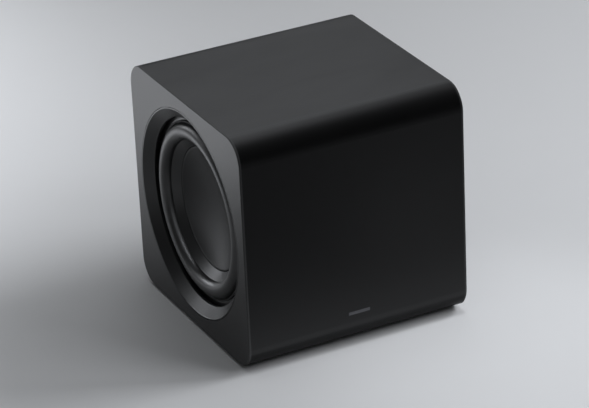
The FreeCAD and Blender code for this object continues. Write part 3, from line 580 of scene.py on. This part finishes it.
def dish(side):
    """The concave dish in the cone's middle, with a rolled lip, and the dark glue line round it."""
    curve = (DISH_EDGE ** 2 + DISH_SAG ** 2) / (2 * DISH_SAG)
    centre = DISH_DEPTH + DISH_SAG - curve
    steps = 40
    radii = [DISH_CENTRE + (DISH_EDGE - DISH_LIP - DISH_CENTRE) * i / steps for i in range(steps + 1)]
    front = [(centre + math.sqrt(curve ** 2 - r ** 2), r) for r in radii]
    lip = arc((front[-1][0] + DISH_LIP, DISH_EDGE - DISH_LIP), DISH_LIP, 75.0, 0.0, 5)
    thicker = curve + DISH_THICKNESS
    back = [(centre + math.sqrt(thicker ** 2 - r ** 2), r) for r in reversed(radii[:-1])]
    outline = front + lip + [(DISH_DEPTH + DISH_THICKNESS, DISH_EDGE)] + back
    skin = turned(f"dish_skin_{side}", side, outline, sharp=50.0, capped=True)
    own(skin, "dish", f"cone_{side}", f"dust_cap_{side}")
    inner, top = DISH_EDGE + GLUE_GAP, DISH_DEPTH + GLUE_SINK
    groove = [(DISH_DEPTH + GLUE_INNER_DEPTH, inner), (top, inner)]
    groove += [(top, GLUE_RADIUS), (DISH_DEPTH + GLUE_OUTER_DEPTH, GLUE_RADIUS)]
    line = turned(f"dish_glue_{side}", side, groove, sharp=30.0)
    paint(line, "glue")
    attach(line, f"cone_{side}")


def wadding(side):
    """A loose pad of fibre: flat on the front wall, crowned inwards, and dented by its staples."""
    low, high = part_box(f"damping_pad_{side}")
    centre = (low + high) / 2
    half_x, half_z, thick = (high.x - low.x) / 2, (high.z - low.z) / 2, high.y - low.y
    staples = [
        (centre.x + a * 0.45 * half_x, centre.z + b * 0.6 * half_z)
        for a in (-1, 1) for b in (-1, 0, 1)
    ]
    dent, dent_radius = 0.45, 7.0 * MM
    across, along = 56, 112
    front, back = [], []
    for j in range(along + 1):
        v = -1.0 + 2.0 * j / along
        for i in range(across + 1):
            u = -1.0 + 2.0 * i / across
            x = centre.x + half_x * u * (0.94 + 0.06 * v ** 4)
            z = centre.z + half_z * v * (0.97 + 0.03 * u ** 4)
            crown = math.sqrt((1.0 - u ** 4) * (1.0 - v ** 6))
            coarse = noise.noise(Vector((x, 0.0, z)) * 45.0)
            fine = noise.noise(Vector((x, 1.0, z)) * 130.0)
            lumps = 0.10 * coarse + 0.05 * fine
            dents = sum(
                dent * math.exp(-((x - a) ** 2 + (z - b) ** 2) / dent_radius ** 2)
                for a, b in staples
            )
            height = crown * min(0.98, max(0.12, 0.84 + lumps - dents))
            front.append((x, low.y + thick * height, z))
            back.append((x, low.y, z))
    row, count = across + 1, len(front)
    faces = []
    for j in range(along):
        for i in range(across):
            a = j * row + i
            faces.append((a, a + 1, a + 1 + row, a + row))
            faces.append((count + a, count + a + row, count + a + 1 + row, count + a + 1))
    pad = new_object(f"wadding_pad_{side}", front + back, faces, sharp=80.0)
    own(pad, "wadding", "cabinet", f"damping_pad_{side}")


# ------------------------------------------------------------------ small hardware
def sweep_circle(path, radius, around=12):
    """Vertices and faces of a round wire along a list of points."""
    verts, faces = [], []
    for i, point in enumerate(path):
        way = (path[min(i + 1, len(path) - 1)] - path[max(i - 1, 0)]).normalized()
        across = way.cross(Vector((0.0, 1.0, 0.0))).normalized()
        up = across.cross(way).normalized()
        for k in range(around):
            a = 2 * math.pi * k / around
            verts.append(point + radius * (math.cos(a) * across + math.sin(a) * up))
    for i in range(len(path) - 1):
        for k in range(around):
            n = (k + 1) % around
            faces.append((i * around + k, i * around + n, (i + 1) * around + n, (i + 1) * around + k))
    faces.append(tuple(range(around)))
    faces.append(tuple(range((len(path) - 1) * around, len(path) * around)))
    return verts, faces


def button_spring():
    """The coil spring under the button, with closed end turns."""
    low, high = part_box("button_spring")
    wire = 0.36 * MM
    coil = (high.x - low.x) / 2 - wire
    centre = (low + high) / 2
    turns, steps = 5, 150
    length = high.y - low.y - 2 * wire
    path = []
    for i in range(steps + 1):
        share = i / steps
        eased = share * share * (3.0 - 2.0 * share)
        a = 2 * math.pi * turns * share
        path.append(Vector((
            centre.x + coil * math.cos(a),
            low.y + wire + length * eased,
            centre.z + coil * math.sin(a),
        )))
    spring = new_object("button_coil", *sweep_circle(path, wire))
    own(spring, "spring", "cabinet", "button_spring")
    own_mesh(spring)


def cross_screws(name, node, centres, to_frame, head_radius, head_height, shank_radius, shank_length):
    """Pan-headed screws with a cross recess. to_frame takes (across, along, outwards) in mm."""
    around = 40
    half, narrow = 0.62 * head_radius, 0.17 * head_radius
    cross = []
    for quarter in range(4):
        turn = Matrix.Rotation(quarter * math.pi / 2, 2)
        for point in ((half, -narrow), (half, narrow), (narrow, narrow)):
            cross.append(turn @ Vector(point))
    profile = [
        (head_radius - 0.45, 0.0), (head_radius - 0.18, -0.08), (head_radius - 0.04, -0.26),
        (head_radius, -0.45), (head_radius, -head_height), (shank_radius, -head_height),
        (shank_radius, -head_height - shank_length),
    ]
    bm = bmesh.new()
    rings = []
    for radius, depth in profile:
        ring = []
        for k in range(around):
            a = 2 * math.pi * k / around
            ring.append(bm.verts.new((radius * math.cos(a), radius * math.sin(a), depth)))
        rings.append(ring)
    for first, second in zip(rings, rings[1:]):
        for k in range(around):
            n = (k + 1) % around
            bm.faces.new((first[k], first[n], second[n], second[k]))
    bm.faces.new(rings[-1])
    mouth = [bm.verts.new((p.x, p.y, 0.0)) for p in cross]
    floor = [bm.verts.new((p.x * 0.7, p.y * 0.7, -0.8 * head_height)) for p in cross]
    count = len(cross)
    for k in range(count):
        n = (k + 1) % count
        bm.faces.new((mouth[k], mouth[n], floor[n], floor[k]))
    bm.faces.new(floor)
    rim = [bm.edges.get((rings[0][k], rings[0][(k + 1) % around])) for k in range(around)]
    rim += [bm.edges.get((mouth[k], mouth[(k + 1) % count])) for k in range(count)]
    bmesh.ops.triangle_fill(bm, use_beauty=True, use_dissolve=False, edges=rim)
    bmesh.ops.recalc_face_normals(bm, faces=bm.faces)
    single = bpy.data.meshes.new(name)
    bm.to_mesh(single)
    bm.free()
    verts, faces = [], []
    for index, (across, along) in enumerate(centres):
        start = len(verts)
        turn = Matrix.Rotation(math.radians(37.0 * index), 2)
        for v in single.vertices:
            flat = turn @ Vector((v.co.x, v.co.y))
            verts.append(to_frame(across + flat.x, along + flat.y, v.co.z))
        faces += [tuple(start + i for i in p.vertices) for p in single.polygons]
    bpy.data.meshes.remove(single)
    return own(new_object(name, verts, faces), "fastener", "cabinet", node)


REAR_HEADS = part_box("rear_screws")[1].y
FOOT_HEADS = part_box("foot_screws")[0].z


def on_rear(across, up, out):
    return (-across * MM, REAR_HEADS + out * MM, AXIS_HEIGHT + up * MM)


def under_foot(across, along, out):
    return (across * MM, along * MM, FOOT_HEADS - out * MM)


for side in SIDES:
    surround(side)
    spider(side)
    clamp_bead(side)
    dish(side)
    wadding(side)
button_spring()
cross_screws("rear_panel_screws", "rear_screws", REAR_SCREWS, on_rear, 2.6, 1.2, 1.4, 4.6)
cross_screws("foot_cross_screws", "foot_screws", FOOT_SCREWS, under_foot, 3.2, 1.2, 1.5, 7.0)


# ------------------------------------------------------------------ stage, light and camera
def floor():
    """A plain pale floor."""
    size = 8.0
    mesh = bpy.data.meshes.new("studio_floor")
    corners = [(-size, -size, 0), (size, -size, 0), (size, size, 0), (-size, size, 0)]
    mesh.from_pydata(corners, [], [(0, 1, 2, 3)])
    obj = bpy.data.objects.new("studio_floor", mesh)
    bpy.context.scene.collection.objects.link(obj)
    f = Finish("floor_pale", specular=0.3)
    f.colour(f.blend(f.noise(3.0, 4.0), (0.79, 0.79, 0.79), (0.82, 0.82, 0.82)))
    f.rough(f.remap(f.noise(40.0, 4.0), 0.78, 0.88))
    mesh.materials.append(f.material)


def aimed(name, light, place, target):
    """Places a light, points it at a target and hides it from the camera."""
    obj = bpy.data.objects.new(name, light)
    bpy.context.scene.collection.objects.link(obj)
    obj.location = place
    obj.rotation_euler = (Vector(target) - Vector(place)).to_track_quat("-Z", "Y").to_euler()
    obj.visible_camera = False
    return obj


def softbox(name, azimuth, elevation, size, power, fill=False):
    """A square soft light round the object. Azimuth is clockwise from the rear (+Y), seen from above.

    A fill gives diffuse light only, and the others are only seen as reflections.
    """
    light = bpy.data.lights.new(name, "AREA")
    light.shape = "SQUARE"
    light.size = size
    light.energy = power
    light.color = COOL
    turn, rise = math.radians(azimuth), math.radians(elevation)
    place = (
        LIGHT_DISTANCE * math.cos(rise) * math.sin(turn),
        LIGHT_DISTANCE * math.cos(rise) * math.cos(turn),
        AXIS_HEIGHT + LIGHT_DISTANCE * math.sin(rise),
    )
    obj = aimed(name, light, place, (0.0, 0.0, AXIS_HEIGHT))
    obj.visible_glossy = not fill
    obj.visible_diffuse = fill


def pool(name, place, target, power, cone, blend, radius):
    """A soft round pool of light on the floor, which the object's upright faces mirror.

    The lamp itself is not mirrored.
    """
    light = bpy.data.lights.new(name, "SPOT")
    light.energy = power
    light.color = COOL
    light.spot_size = math.radians(cone)
    light.spot_blend = blend
    light.shadow_soft_size = radius
    aimed(name, light, place, target).visible_glossy = False


def floor_strip(name, x, y, size, power, turn=0.0):
    """A flat light lying on the floor and facing up, seen as a glow in the upright faces."""
    light = bpy.data.lights.new(name, "AREA")
    light.shape = "RECTANGLE"
    light.size, light.size_y = size
    light.energy = power
    light.color = COOL
    obj = bpy.data.objects.new(name, light)
    bpy.context.scene.collection.objects.link(obj)
    obj.location = (x, y, STRIP_HEIGHT)
    obj.rotation_euler = (math.pi, 0.0, math.radians(turn))
    obj.visible_camera = False


def surroundings():
    """A dim room: nearly all the light comes from the lamps."""
    world = bpy.data.worlds.new("studio_room")
    bpy.context.scene.world = world
    world.use_nodes = True
    backdrop = world.node_tree.nodes["Background"]
    backdrop.inputs["Color"].default_value = (0.95, 0.98, 1.0, 1.0)
    backdrop.inputs["Strength"].default_value = 0.08


def lights():
    softbox("box_rear", 26, 40, 0.9, 7.6)
    softbox("box_rear_low", 26, 20, 0.9, 1.4)
    softbox("box_high", 26, 58, 0.9, 2.6)
    softbox("box_overhead", 26, 76, 1.4, 32.0)
    softbox("box_ceiling", 206, 76, 1.4, 20.0)
    softbox("box_front", 206, 36, 1.8, 9.0)
    softbox("box_low_rear", -15, 14, 0.6, 7.2)
    softbox("box_low_left", -32, 18, 0.6, 2.6)
    softbox("box_left", -50, 14, 0.6, 0.84)
    softbox("fill_right", 105, 42, 0.9, 24.0, fill=True)
    softbox("fill_front", 142, 38, 0.9, 10.0, fill=True)
    softbox("fill_top", 0, 88, 1.4, 5.5, fill=True)
    pool("pool_rear_left", (-0.9, 1.2, 2.2), (-0.75, 0.95, 0.0), 180.0, 50.0, 0.9, 0.20)
    pool("pool_front", (0.15, -0.3, 2.2), (0.12, -0.22, 0.0), 26.0, 15.0, 1.0, 0.05)
    floor_strip("strip_near", 0.03, -0.150, (0.36, 0.030), 0.066)
    floor_strip("strip_next", 0.04, -0.185, (0.38, 0.040), 0.064)
    floor_strip("strip_far", 0.05, -0.230, (0.40, 0.050), 0.040)
    floor_strip("strip_left", -0.42, 0.52, (0.34, 0.46), 0.50)
    floor_strip("strip_slant", 0.245, -0.374, (0.25, 0.045), 0.120, turn=-23.5)


def camera():
    """The camera looks down at the front left corner from a distance."""
    data = bpy.data.cameras.new("camera")
    obj = bpy.data.objects.new("camera", data)
    bpy.context.scene.collection.objects.link(obj)
    data.sensor_width = CAMERA_SENSOR
    data.lens = CAMERA_LENS
    data.clip_end = 50.0
    turn = Matrix.Rotation(math.radians(CAMERA_TURN), 4, "Z")
    tilt = Matrix.Rotation(math.radians(90.0 - CAMERA_DIP), 4, "X")
    roll = Matrix.Rotation(math.radians(CAMERA_ROLL), 4, "Z")
    place = Matrix.Translation(CAMERA_PLACE)
    obj.matrix_world = place @ turn @ tilt @ roll
    bpy.context.scene.camera = obj


floor()
surroundings()
lights()
camera()
bpy.context.scene.view_settings.view_transform = "Standard"
